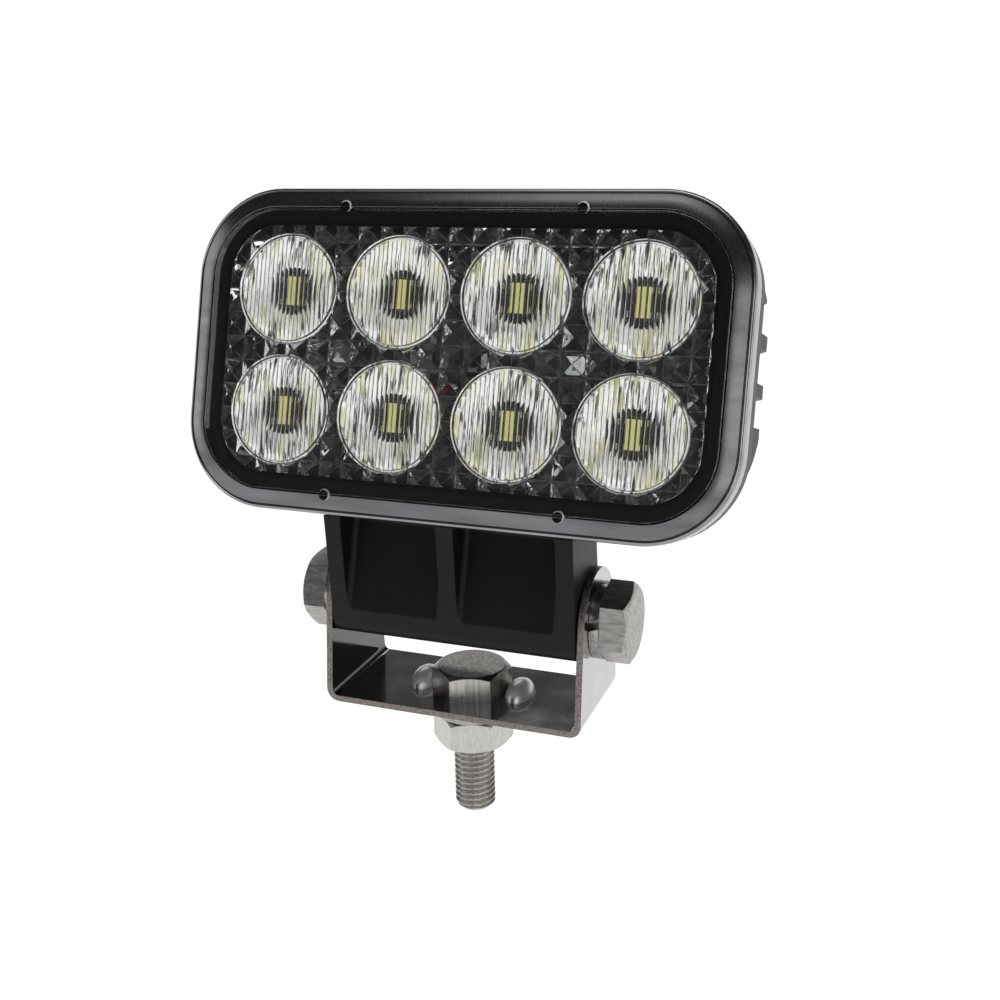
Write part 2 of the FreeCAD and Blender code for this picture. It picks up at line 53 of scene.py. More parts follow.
OPTIC_PITCH = 28.0
OPTIC_X = (-42.0, -14.0, 14.0, 42.0)
OPTIC_Z = (14.0, -14.0)
COLLAR_R = 12.75
COLLAR_IN_R = 11.95
COLLAR_BACK = 4.0

LENS_INSET = 4.8
LENS_SLAB_T = 2.2
FLANGE_INSET = 2.3
FLANGE_FRONT = 2.4
FLANGE_BACK = 4.95
LENS_WALL_INSET = 7.5
LENS_WALL_FRONT = 2.3

NOTCH_X = 28.0
NOTCH_Z = 32.75
NOTCH_R = 1.15
NOTCH_FRONT = 0.03
NOTCH_BACK = 0.7
# The crescent beside each notch carries a painted glint.
CRESCENT_START = -60.0
CRESCENT_SWEEP = 200.0
CRESCENT_WIDTH = 0.30
CRESCENT_STEPS = 24
CRESCENT_GAP = 0.04
CRESCENT_TIP_W = 0.06

PRISM_INSET = 8.6
PRISM_CELL = OPTIC_PITCH / 5
PRISM_BASE_Y = 2.25
PRISM_APEX_Y = 2.35
PRISM_RIDGE_Y = 3.95
PRISM_RIDGE_W = 0.2
PRISM_LINE_W = 0.22
# Chance for each side of a hollow (below, right, above, left) to be painted grey as a painted reflection.
PRISM_REFLECTION_CHANCE = (0.10, 0.06, 0.14, 0.34)
PRISM_SEED = 5
FLUTE_PITCH = 1.06
FLUTE_RADIUS = 0.70
FLUTE_STEPS = 8
WINDOW_FRONT_Y = 2.25
WINDOW_BACK_Y = 2.7

BOARD_FRONT = 6.6
LED_SIDE = 7.8
LED_BASE_T = 0.7
LED_CHIP_W = 2.6
LED_CHIP_H = 6.6
LED_CHIP_T = 0.5
LED_PAD = (0.8, 1.3, 0.06)
LED_PAD_X = 3.1
LED_PAD_Z = 2.6
CUP_FRONT = 4.05
CUP_FRONT_R = 12.4
CUP_BACK = 6.6
CUP_BACK_R = 6.3
CUP_BULGE = 0.9
CUP_WALL = 0.7

HEX_FLATS = 17.0
HEX_ANGLE = 18.0
HEX_CHAMFER_R = 8.1
BOLT_SEAT_Z = 13.7
BOLT_HEAD_H = 6.4
THREAD_R = 5.0
THREAD_DEPTH = 0.86
THREAD_PITCH = 1.5
THREAD_CREST = 0.16
THREAD_FLANK = 0.68
ROOT_ROUNDING = 0.35
THREAD_TOP_Z = 0.0
BOLT_TIP_Z = -18.3
BOLT_TIP_CHAMFER = 1.3
SHANK_R = 4.513
END_ROUGHNESS = 0.27

# Where the bumps round the bolt stand; there they get a painted highlight.
BUMP_X = 12.4
BUMP_REACH = 4.0
BUMP_LOW_Z = 13.75
BUMP_TOP_Z = 18.0
# Where the arms' inner faces are painted dark, a painted shade.
ARM_INSIDE_X = 29.3
ARM_INSIDE_REACH = 1.8
ARM_TOP_RIM_Z = 40.5
HOLE_EDGE_Y = 5.2

CAMERA_PLACE = (106.97, -256.15, 147.42)
CAMERA_YAW = math.radians(21.075)
CAMERA_PITCH = math.radians(17.186)
CAMERA_ROLL = math.radians(1.202)
CAMERA_LENS = 44.72
WORLD_STRENGTH = 1.0
WORLD_LEAN = -0.13
WORLD_LEVELS = [(0.0, 1.0), (0.53, 1.0), (0.58, 0.10), (0.76, 0.05), (0.935, 0.05), (0.975, 0.6), (1.0, 1.1)]
FLOOR_GLOW = 1.0
FLOOR_Z = -0.075
FLOOR_HALF = 6.0


def head_point(x, y, z):
    """A point given in head coordinates, in metres in the row frame."""
    back = y - LENS_TO_PIVOT_Y
    up = z + HEAD_MID_Z
    row_y = back * math.cos(TILT) + up * math.sin(TILT)
    row_z = up * math.cos(TILT) - back * math.sin(TILT) + PIVOT_Z
    return Vector((x, row_y, row_z)) * MM


def row_point(x, y, z):
    """A point given in millimetres in the row frame, in metres."""
    return Vector((x, y, z)) * MM


def solid_mesh(name, points, faces):
    """A mesh whose faces all look outwards."""
    mesh = bpy.data.meshes.new(name)
    mesh.from_pydata([tuple(point) for point in points], [], faces)
    shape = bmesh.new()
    shape.from_mesh(mesh)
    bmesh.ops.recalc_face_normals(shape, faces=shape.faces)
    shape.to_mesh(mesh)
    shape.free()
    return mesh


def add_mesh(name, points, faces, materials, body, replaces=(), sharp=30.0, face_materials=None):
    """A visible piece on a body. Edges sharper than this many degrees stay sharp."""
    mesh = solid_mesh(name, points, faces)
    for material in materials:
        mesh.materials.append(material)
    if face_materials:
        mesh.polygons.foreach_set("material_index", face_materials)
    mesh.shade_smooth()
    mesh.set_sharp_from_angle(angle=math.radians(sharp))
    piece = bpy.data.objects.new(name, mesh)
    bpy.context.collection.objects.link(piece)
    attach(piece, body)
    if replaces:
        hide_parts(*replaces)
    return piece


def add_head_mesh(name, points, faces, materials, replaces=(), sharp=30.0, face_materials=None):
    """A visible piece of the lamp head, from points in head coordinates."""
    placed = [head_point(*point) for point in points]
    return add_mesh(name, placed, faces, materials, "lamp_head", replaces, sharp, face_materials)


# materials


class Nodes:
    """A short way to write a node material."""

    def __init__(self, name):
        self.material = bpy.data.materials.new(name)
        self.material.use_nodes = True
        self.tree = self.material.node_tree
        self.shader = self.tree.nodes["Principled BSDF"]
        self.coordinates = self.add("ShaderNodeTexCoord").outputs["Object"]

    def add(self, kind, **inputs):
        node = self.tree.nodes.new(kind)
        for key, value in inputs.items():
            self.set(node, key.replace("_", " "), value)
        return node

    def set(self, node, key, value):
        socket = node.inputs[int(key)] if key.isdigit() else node.inputs[key]
        if isinstance(value, bpy.types.NodeSocket):
            self.tree.links.new(value, socket)
        else:
            socket.default_value = value

    def surface(self, **inputs):
        for key, value in inputs.items():
            self.set(self.shader, key.replace("_", " "), value)

    def stretched(self, scale):
        mapping = self.add("ShaderNodeMapping", Vector=self.coordinates)
        mapping.inputs["Scale"].default_value = scale
        return mapping.outputs["Vector"]

    def noise(self, scale, detail=4.0, stretch=(1, 1, 1), roughness=0.55):
        vector = self.stretched(stretch)
        node = self.add("ShaderNodeTexNoise", Vector=vector, Scale=scale, Detail=detail, Roughness=roughness)
        return node.outputs["Fac"]

    def remap(self, value, low, high, out_low, out_high):
        node = self.add("ShaderNodeMapRange", Value=value)
        node.inputs["From Min"].default_value = low
        node.inputs["From Max"].default_value = high
        node.inputs["To Min"].default_value = out_low
        node.inputs["To Max"].default_value = out_high
        return node.outputs["Result"]

    def colours(self, value, stops):
        node = self.add("ShaderNodeValToRGB", Fac=value)
        ramp = node.color_ramp
        while len(ramp.elements) < len(stops):
            ramp.elements.new(0.5)
        for element, (place, colour) in zip(ramp.elements, stops):
            element.position = place
            element.color = (*colour, 1.0)
        return node.outputs["Color"]

    def math(self, operation, first, second=0.0, third=0.0):
        node = self.add("ShaderNodeMath")
        node.operation = operation
        for index, value in enumerate((first, second, third)):
            self.set(node, str(index), value)
        return node.outputs["Value"]

    def mix(self, factor, first, second):
        node = self.add("ShaderNodeMix")
        node.data_type = "RGBA"
        for index, value in ((0, factor), (6, first), (7, second)):
            if not isinstance(value, bpy.types.NodeSocket) and index:
                value = (*value, 1.0)
            self.set(node, str(index), value)
        return node.outputs[2]

    def rounded_edges(self, radius):
        node = self.add("ShaderNodeBevel", Radius=radius * MM)
        node.samples = 4
        return node.outputs["Normal"]

    def bump(self, height, strength, distance, normal=None):
        node = self.add("ShaderNodeBump", Height=height, Strength=strength, Distance=distance * MM)
        if normal is not None:
            self.set(node, "Normal", normal)
        return node.outputs["Normal"]


def cast_paint():
    """Black powder coat: a fine orange-peel, a little dust, and edges rounded in the shading."""
    n = Nodes("black_powder_coat")
    fine = n.noise(2600.0, 3.0)
    broad = n.noise(60.0, 3.0)
    colour = n.colours(broad, [(0.3, (0.003, 0.0031, 0.0034)), (0.75, (0.0062, 0.0064, 0.0069))])
    specks = n.noise(1500.0, 1.0)
    dust = n.remap(specks, 0.80, 0.84, 0.0, 0.6)
    n.surface(Base_Color=n.mix(dust, colour, (0.16, 0.16, 0.16)))
    n.surface(Roughness=n.remap(fine, 0.3, 0.7, 0.36, 0.52), Specular_IOR_Level=0.20)
    peel = n.bump(fine, 0.28, 0.05, n.rounded_edges(0.45))
    n.surface(Normal=n.bump(n.noise(420.0, 2.0), 0.12, 0.08, peel))
    return n.material


def bezel_metal(name, dark, light, rough_low, rough_high):
    """Metal with a very fine satin grain."""
    n = Nodes(name)
    grain = n.noise(3800.0, 3.0)
    streak = n.noise(260.0, 3.0, (0.15, 1.0, 1.0))
    n.surface(Base_Color=n.colours(streak, [(0.3, dark), (0.7, light)]), Metallic=1.0)
    n.surface(Roughness=n.remap(grain, 0.3, 0.7, rough_low, rough_high))
    n.surface(Normal=n.bump(grain, 0.10, 0.012))
    return n.material


def clear_plastic(name, tint):
    """Moulded polycarbonate, with a very slight unevenness."""
    n = Nodes(name)
    flow = n.noise(180.0, 2.0)
    n.surface(Base_Color=(*tint, 1.0), IOR=1.58, Transmission_Weight=1.0, Roughness=0.0)
    n.surface(Normal=n.bump(flow, 0.03, 0.1))
    return n.material


def fluted_plastic():
    """The fluted windows, with streaks that break up what is seen through them."""
    n = Nodes("fluted_polycarbonate")
    streaks = n.noise(900.0, 3.0, (1.0, 1.0, 0.22))
    n.surface(Base_Color=(0.985, 0.99, 0.98, 1.0), IOR=1.55, Transmission_Weight=1.0, Roughness=0.0)
    n.surface(Normal=n.bump(streaks, 0.25, 0.12))
    return n.material


def polished_sheet():
    """Polished stainless sheet. Its sawn edges are dull and brownish. The bumps round the mounting bolt are
    painted nearly white and made less metallic, a painted highlight, and the arms' inner faces are painted
    dark, a painted shade.
    """
    n = Nodes("polished_stainless")
    smear = n.noise(90.0, 4.0)
    scratch = n.noise(700.0, 3.0, (0.06, 1.0, 1.0))
    parts = n.add("ShaderNodeSeparateXYZ", Vector=n.coordinates).outputs
    normal = n.tree.nodes["Texture Coordinate"].outputs["Normal"]
    facing = n.add("ShaderNodeSeparateXYZ", Vector=normal).outputs
    across = n.math("LESS_THAN", n.math("ABSOLUTE", facing["X"]), 0.15)
    sideways = n.math("GREATER_THAN", n.math("ABSOLUTE", facing["Y"]), 0.5)
    top = n.math("GREATER_THAN", parts["Z"], ARM_TOP_RIM_Z * MM)
    outside = n.math("GREATER_THAN", n.math("ABSOLUTE", parts["Y"]), HOLE_EDGE_Y * MM)
    rim = n.math("MULTIPLY", n.math("MAXIMUM", n.math("MULTIPLY", sideways, outside), top), across)
    beside = n.math("COMPARE", n.math("ABSOLUTE", parts["X"]), BUMP_X * MM, BUMP_REACH * MM)
    above_plate = n.math("GREATER_THAN", parts["Z"], BUMP_LOW_Z * MM)
    raised = n.math("MULTIPLY", above_plate, n.math("LESS_THAN", parts["Z"], BUMP_TOP_Z * MM))
    # mask of the bumps, where the painted highlight goes
    bump_highlight_mask = n.math("MULTIPLY", beside, raised)
    grit = n.noise(1800.0, 4.0, (1.0, 1.0, 1.0))
    edge_colour = n.colours(grit, [(0.3, (0.12, 0.10, 0.09)), (0.72, (0.40, 0.36, 0.34))])
    face_colour = n.colours(smear, [(0.3, (0.44, 0.44, 0.455)), (0.7, (0.52, 0.52, 0.53))])
    # painted highlight: the bumps are painted nearly white
    face_colour = n.mix(bump_highlight_mask, face_colour, (0.95, 0.94, 0.92))
    # painted shade: the arms' inner faces are painted dark
    turned_in = n.math("GREATER_THAN", n.math("ABSOLUTE", facing["X"]), 0.25)
    arm_inner_shade = n.math("COMPARE", n.math("ABSOLUTE", parts["X"]), ARM_INSIDE_X * MM, ARM_INSIDE_REACH * MM)
    face_colour = n.mix(n.math("MULTIPLY", turned_in, arm_inner_shade), face_colour, (0.11, 0.11, 0.115))
    # the bumps are less metallic, as part of the painted highlight
    metal = n.math("MULTIPLY_ADD", bump_highlight_mask, -0.55, 1.0)
    n.surface(Base_Color=n.mix(rim, face_colour, edge_colour), Metallic=metal)
    polished = n.remap(smear, 0.3, 0.75, 0.06, 0.15)
    rough = n.remap(grit, 0.3, 0.7, 0.34, 0.55)
    polished = n.math("MULTIPLY_ADD", bump_highlight_mask, 0.24, polished)
    n.surface(Roughness=n.math("ADD", polished, n.math("MULTIPLY", rim, rough)))
    marks = n.bump(scratch, 0.05, 0.02, n.rounded_edges(0.22))
    n.surface(Normal=n.bump(n.math("MULTIPLY", grit, rim), 0.6, 0.06, marks))
    return n.material


def brushed_steel(name, stretch, dark, light, rough_low, rough_high, even_ends=2.0):
    """Bright steel with drawn streaks, spots and softened edges.

    A face whose normal rises past even_ends has no streaks and an even roughness.
    """
    n = Nodes(name)
    lines = n.noise(1300.0, 5.0, stretch)
    spots = n.noise(700.0, 3.0)
    normal = n.tree.nodes["Texture Coordinate"].outputs["Normal"]
    facing = n.add("ShaderNodeSeparateXYZ", Vector=normal).outputs
    side = n.math("LESS_THAN", n.math("ABSOLUTE", facing["Z"]), even_ends)
    n.surface(Base_Color=n.colours(lines, [(0.32, dark), (0.68, light)]), Metallic=1.0)
    grain = n.remap(spots, 0.3, 0.7, rough_low, rough_high)
    n.surface(Roughness=n.math("MULTIPLY_ADD", side, n.math("SUBTRACT", grain, END_ROUGHNESS), END_ROUGHNESS))
    drawn = n.bump(n.math("MULTIPLY", lines, side), 0.35, 0.05, n.rounded_edges(0.25))
    n.surface(Normal=n.bump(spots, 0.10, 0.04, drawn))
    return n.material


def moulded(name, dark, light, rough_low, rough_high, grain=1500.0, specular=0.5):
    """A moulded or coated part with a fine grain."""
    n = Nodes(name)
    speckle = n.noise(grain, 3.0)
    n.surface(Base_Color=n.colours(speckle, [(0.3, dark), (0.7, light)]))
    n.surface(Roughness=n.remap(speckle, 0.3, 0.7, rough_low, rough_high), Specular_IOR_Level=specular)
    n.surface(Normal=n.bump(speckle, 0.2, 0.04, n.rounded_edges(0.15)))
    return n.material


def plated(name, dark, light, rough_low, rough_high):
    """A bright plated or metallised part."""
    n = Nodes(name)
    cloud = n.noise(900.0, 3.0)
    n.surface(Base_Color=n.colours(cloud, [(0.3, dark), (0.7, light)]), Metallic=1.0)
    n.surface(Roughness=n.remap(cloud, 0.3, 0.7, rough_low, rough_high))
    n.surface(Normal=n.bump(cloud, 0.08, 0.05))
    return n.material


def head_height(n):
    """x, and the height up the lens from its middle, both in metres."""
    parts = n.add("ShaderNodeSeparateXYZ", Vector=n.coordinates).outputs
    up = n.math("MULTIPLY_ADD", parts["Z"], math.cos(TILT), -(PIVOT_Z * math.cos(TILT) + HEAD_MID_Z) * MM)
    return parts["X"], n.math("MULTIPLY_ADD", parts["Y"], math.sin(TILT), up)


def near_optic(n, value):
    """1 on the line through the optics' centres, falling to 0 half way between them."""
    turn = n.math("COSINE", n.math("MULTIPLY", value, math.pi / (OPTIC_PITCH / 2 * MM)))
    return n.math("MULTIPLY_ADD", turn, -0.5, 0.5)


def crumpled_mirror():
    """Metallised reflector over a hammered surface. Its colour is painted reflections: bright, dark and
    faintly yellow upright streaks, with painted shade near each optic's middle. A faint emission adds a
    painted glow.
    """
    n = Nodes("reflector_painted_reflections")
    across, up = head_height(n)
    fine = n.noise(1700.0, 2.0, (1.0, 0.09, 0.09))
    broad = n.noise(500.0, 3.0, (1.0, 0.30, 0.30))
    level = n.math("MULTIPLY_ADD", fine, 0.65, n.math("MULTIPLY", broad, 0.35))
    # painted shade: darker near the middle of each optic, round its LED
    middle = n.math("MULTIPLY", near_optic(n, across), near_optic(n, up))
    level = n.math("MULTIPLY_ADD", n.math("POWER", middle, 3.0), -0.05, level)
    # painted reflections: streaks from near black to white
    grey = n.colours(level, [(0.385, (0.006, 0.006, 0.008)), (0.44, (0.14, 0.145, 0.15)),
                             (0.478, (0.86, 0.87, 0.88)), (0.515, (1.0, 1.0, 1.0))])
    tint = n.remap(n.noise(620.0, 1.0, (1.0, 0.12, 0.12)), 0.55, 0.62, 0.0, 0.60)
    colour = n.mix(tint, grey, (0.80, 0.76, 0.38))
    # the emission is a faint painted glow of the painted streaks
    n.surface(Base_Color=colour, Metallic=0.45, Roughness=0.16, Emission_Color=colour, Emission_Strength=0.55)
    n.surface(Normal=n.bump(n.noise(380.0, 2.0), 1.0, 0.35))
    return n.material


def phosphor():
    """Yellow phosphor over the chips, with a faint painted glow of its own colour."""
    n = Nodes("led_phosphor_painted_glow")
    cloud = n.noise(900.0, 3.0)
    n.surface(Base_Color=n.colours(cloud, [(0.3, (0.82, 0.76, 0.24)), (0.7, (0.93, 0.90, 0.42))]))
    # the emission is a faint painted glow
    n.surface(Roughness=0.35, Emission_Strength=0.45)
    n.shader.inputs["Emission Color"].default_value = (0.90, 0.86, 0.30, 1.0)
    n.surface(Normal=n.bump(cloud, 0.1, 0.03))
    return n.material


def board_mask():
    """Black solder mask with faint copper tracks under it."""
    n = Nodes("black_solder_mask")
    brick = n.add("ShaderNodeTexBrick", Vector=n.stretched((1.0, 1.0, 1.0)), Scale=160.0)
    track = n.noise(240.0, 0.0, (1.0, 0.3, 0.3))
    level = n.remap(track, 0.48, 0.50, 0.0, 1.0)
    n.surface(Base_Color=n.mix(level, (0.008, 0.009, 0.010), (0.020, 0.021, 0.022)))
    n.surface(Roughness=n.remap(n.noise(1600.0), 0.3, 0.7, 0.28, 0.42))
    n.surface(Normal=n.bump(n.math("ADD", level, brick.outputs["Fac"]), 0.15, 0.03))
    return n.material


# lamp head


def outline(y, inset, corner_steps=16):
    """Points round the head's outline, moved in by inset, at depth y."""
    radius = HEAD_R - inset
    x = HEAD_W / 2 - HEAD_R
    z = HEAD_H / 2 - HEAD_R
    points = []
    for cx, cz, start in ((x, z, 0), (-x, z, 90), (-x, -z, 180), (x, -z, 270)):
        for step in range(corner_steps + 1):
            angle = math.radians(start + 90 * step / corner_steps)
            points.append((cx + radius * math.cos(angle), y, cz + radius * math.sin(angle)))
    return points


def skin(rings, closed_section):
    """Points and faces of a skin through rings of equal length.

    A closed section joins the last ring to the first.
    """
    count = len(rings[0])
    points = [point for ring in rings for point in ring]
    faces = []
    last = len(rings) if closed_section else len(rings) - 1
    for index in range(last):
        low = index * count
        high = ((index + 1) % len(rings)) * count
        for step in range(count):
            after = (step + 1) % count
            faces.append((low + step, low + after, high + after, high + step))
    return points, faces


def arc_section(start, end, bulge, steps):
    """Points (y, inset) from start to end along a quarter turn. bulge is the corner it rounds."""
    points = []
    for step in range(steps + 1):
        angle = math.pi / 2 * step / steps
        a, b = 1 - math.sin(angle), 1 - math.cos(angle)
        y = bulge[0] + (start[0] - bulge[0]) * a + (end[0] - bulge[0]) * b
        inset = bulge[1] + (start[1] - bulge[1]) * a + (end[1] - bulge[1]) * b
        points.append((y, inset))
    return points


def bezel(bevel, rim):
    """The metal frame, as a (y, inset) section: a sloping bevel, a fine groove and a rounded rim."""
    lip = [(2.2, 4.5), (0.10, 4.5), (0.02, 4.42), (0.12, 3.9)]
    slope = lip + [(0.30, 3.2), (0.52, 2.5), (0.80, 1.7), (0.95, 1.2)]
    groove = [(1.15, 1.05), (1.45, 1.02), (1.45, 0.84), (1.05, 0.80)]
    edge = arc_section((0.90, 0.66), (1.75, 0.0), (0.96, 0.07), 8)
    back = [(6.5, 0.0), (6.5, 2.0), (2.2, 2.0)]
    rings = [outline(y, inset) for y, inset in slope + groove + edge + back]
    points, faces = skin(rings, True)
    on_slope = len(slope) * len(rings[0])
    slots = [0 if index < on_slope else 1 for index in range(len(faces))]
    return add_head_mesh("lens_bezel", points, faces, [bevel, rim], ["bezel_frame"], 24.0, slots)


def crescent(cx, cz, points, faces):
    """A thin curved plate round a notch, thickest half way along. It carries a painted glint."""
    low = len(points)
    inner = NOTCH_R + CRESCENT_GAP
    for y in (NOTCH_FRONT, NOTCH_BACK):
        for step in range(CRESCENT_STEPS + 1):
            angle = math.radians(CRESCENT_START + CRESCENT_SWEEP * step / CRESCENT_STEPS)
            width = CRESCENT_TIP_W + CRESCENT_WIDTH * math.sin(math.pi * step / CRESCENT_STEPS)
            for radius in (inner, inner + width):
                points.append((cx + radius * math.cos(angle), y, cz + radius * math.sin(angle)))
    layer = 2 * (CRESCENT_STEPS + 1)
    for step in range(CRESCENT_STEPS):
        near = low + 2 * step
        far = near + layer
        faces.append((near, near + 1, near + 3, near + 2))
        faces.append((far, far + 2, far + 3, far + 1))
        faces.append((near, near + 2, far + 2, far))
        faces.append((near + 1, far + 1, far + 3, near + 3))
    end = low + layer - 2
    faces.append((low, low + layer, low + layer + 1, low + 1))
    faces.append((end, end + 1, end + layer + 1, end + layer))


def notch(number, cx, cz, dark, bright):
    """A dark round notch over the bezel's inner edge, with a crescent beside it painted bright: a painted
    glint.
    """
    points, faces = cylinder_mesh([(cx, cz)], NOTCH_R, NOTCH_FRONT, NOTCH_BACK, 40)
    slots = [0] * len(faces)
    crescent(cx, cz, points, faces)
    slots += [1] * (len(faces) - len(slots))
    return add_head_mesh("bezel_notch_" + str(number), points, faces, [dark, bright], (), 30.0, slots)


def lens_slab(material):
    """The clear front plate of the lens, with slightly rounded edges."""
    section = [(LENS_SLAB_T, LENS_INSET), (0.2, LENS_INSET)]
    section += [(0.06, LENS_INSET + 0.06), (0.0, LENS_INSET + 0.2)]
    rings = [outline(y, inset) for y, inset in section]
    points, faces = skin(rings, False)
    count = len(rings[0])
    faces.append(tuple(range(count - 1, -1, -1)))
    faces.append(tuple(range((len(rings) - 1) * count, len(rings) * count)))
    return add_head_mesh("lens_plate", points, faces, [material], ["lens_cover"], 12.0)


def lens_skirt(material):
    """The lens's flange and the wall that stands on the gasket, blackened behind."""
    section = [(FLANGE_FRONT, LENS_INSET + 0.02), (FLANGE_FRONT, FLANGE_INSET), (FLANGE_BACK, FLANGE_INSET)]
    section += [(FLANGE_BACK, LENS_WALL_INSET), (LENS_WALL_FRONT, LENS_WALL_INSET)]
    points, faces = skin([outline(y, inset) for y, inset in section], True)
    return add_head_mesh("lens_flange", points, faces, [material], (), 24.0)


def prism_cell(i, j):
    """The twelve grid steps round one hollow, starting at its lower left corner, closed."""
    below = [(i + step, j) for step in range(3)]
    beside = [(i + 3, j + step) for step in range(3)]
    above = [(i + 3 - step, j + 3) for step in range(3)]
    back = [(i, j + 3 - step) for step in range(4)]
    return below + beside + above + back


def prism_sheet():
    """One sheet whose back is a grid of pyramid hollows.

    Slot 1 is for the ridges and the hollows' edges, painted pale grey as a painted glint, and slot 2 for
    sides painted grey as a painted reflection, picked at random and most often on the left.
    """
    draw = random.Random(PRISM_SEED)
    half = PRISM_CELL / 2 - PRISM_RIDGE_W / 2
    offsets = (-half, PRISM_LINE_W - half, half - PRISM_LINE_W, half)
    xs = [column * PRISM_CELL + offset for column in range(-11, 12) for offset in offsets]
    zs = [row * PRISM_CELL + offset for row in range(-6, 7) for offset in offsets]
    points, faces, slots, known = [], [], [], {}

    def at(place):
        if place not in known:
            known[place] = len(points)
            points.append((xs[place[0]], PRISM_RIDGE_Y, zs[place[1]]))
        return known[place]

    for i in range(len(xs) - 1):
        for j in range(len(zs) - 1):
            if i % 4 == 3 or j % 4 == 3:
                faces.append((at((i, j)), at((i, j + 1)), at((i + 1, j + 1)), at((i + 1, j))))
                # slot 1: ridges painted pale, a painted glint
                slots.append(1)
            elif i % 4 == 0 and j % 4 == 0:
                ring = [at(place) for place in prism_cell(i, j)]
                apex = len(points)
                points.append(((xs[i] + xs[i + 3]) / 2, PRISM_APEX_Y, (zs[j] + zs[j + 3]) / 2))
                # painted reflection: some sides picked at random are painted grey
                painted_reflecting = [draw.random() < chance for chance in PRISM_REFLECTION_CHANCE]
                for step in range(12):
                    faces.append((ring[step + 1], ring[step], apex))
                    side_slot = 2 if painted_reflecting[step // 3] else 0
                    slots.append(side_slot if step % 3 == 1 else 1)
    far_x, far_z = len(xs) - 1, len(zs) - 1
    front = len(points)
    for x, z in ((xs[0], zs[0]), (xs[0], zs[-1]), (xs[-1], zs[-1]), (xs[-1], zs[0])):
        points.append((x, PRISM_BASE_Y, z))
    faces.append((front, front + 1, front + 2, front + 3))
    faces.append((front + 1, front, *[at((0, j)) for j in range(far_z + 1)]))
    faces.append((front + 2, front + 1, *[at((i, far_z)) for i in range(far_x + 1)]))
    faces.append((front + 3, front + 2, *[at((far_x, j)) for j in range(far_z, -1, -1)]))
    faces.append((front, front + 3, *[at((i, 0)) for i in range(far_x, -1, -1)]))
    slots += [0] * 5
    return points, faces, slots


def cylinder_mesh(centres, radius, front, back, steps=72):
    """Points and faces of a cylinder along y at each centre."""
    points, faces = [], []
    for cx, cz in centres:
        low = len(points)
        for y in (front, back):
            for step in range(steps):
                angle = 2 * math.pi * step / steps
                points.append((cx + radius * math.cos(angle), y, cz + radius * math.sin(angle)))
        faces.append(tuple(range(low + steps - 1, low - 1, -1)))
        faces.append(tuple(range(low + steps, low + 2 * steps)))
        for step in range(steps):
            after = (step + 1) % steps
            faces.append((low + step, low + after, low + steps + after, low + steps + step))
    return points, faces


def helper_object(name, points, faces):
    """An object in the scene for a boolean, removed by cut_mesh."""
    mesh = solid_mesh(name, [head_point(*p) for p in points], faces)
    helper = bpy.data.objects.new(name, mesh)
    bpy.context.collection.objects.link(helper)
    return helper


def cut_mesh(target, cutters):
    """The target's mesh after exact booleans with each (object, operation). The helpers are removed."""
    for cutter, operation in cutters:
        modifier = target.modifiers.new("cut", "BOOLEAN")
        modifier.object = cutter
        modifier.operation = operation
        modifier.solver = "EXACT"
    evaluated = target.evaluated_get(bpy.context.evaluated_depsgraph_get())
    mesh = bpy.data.meshes.new_from_object(evaluated)
    for helper in [target] + [cutter for cutter, _ in cutters]:
        bpy.data.objects.remove(helper)
    return mesh


def optic_centres():
    """x and z of each optic, by rows from the upper left."""
    return [(x, z) for z in OPTIC_Z for x in OPTIC_X]


def prism_field(materials):
    """The prisms behind the plate, cut away round the windows and at the edge of the field."""
    points, faces, slots = prism_sheet()
    field = helper_object("field", points, faces)
    for material in materials:
        field.data.materials.append(material)
    field.data.polygons.foreach_set("material_index", slots)
    cuts = helper_object("cuts", *cylinder_mesh(optic_centres(), COLLAR_R + 0.05, 1.0, 6.0))
    rings = [outline(1.0, PRISM_INSET), outline(6.0, PRISM_INSET)]
    edge_points, edge_faces = skin(rings, False)
    count = len(rings[0])
    edge_faces += [tuple(range(count - 1, -1, -1)), tuple(range(count, 2 * count))]
    edge = helper_object("edge", edge_points, edge_faces)
    mesh = cut_mesh(field, [(cuts, "DIFFERENCE"), (edge, "INTERSECT")])
    mesh.shade_flat()
    piece = bpy.data.objects.new("lens_prisms", mesh)
    bpy.context.collection.objects.link(piece)
    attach(piece, "lamp_head")
    return piece


def flute_depth(x):
    """How far the fluted face stands behind its valleys at x."""
    local = (x / FLUTE_PITCH) % 1.0 - 0.5
    valley = math.sqrt(FLUTE_RADIUS ** 2 - (FLUTE_PITCH / 2) ** 2)
    return math.sqrt(FLUTE_RADIUS ** 2 - (local * FLUTE_PITCH) ** 2) - valley


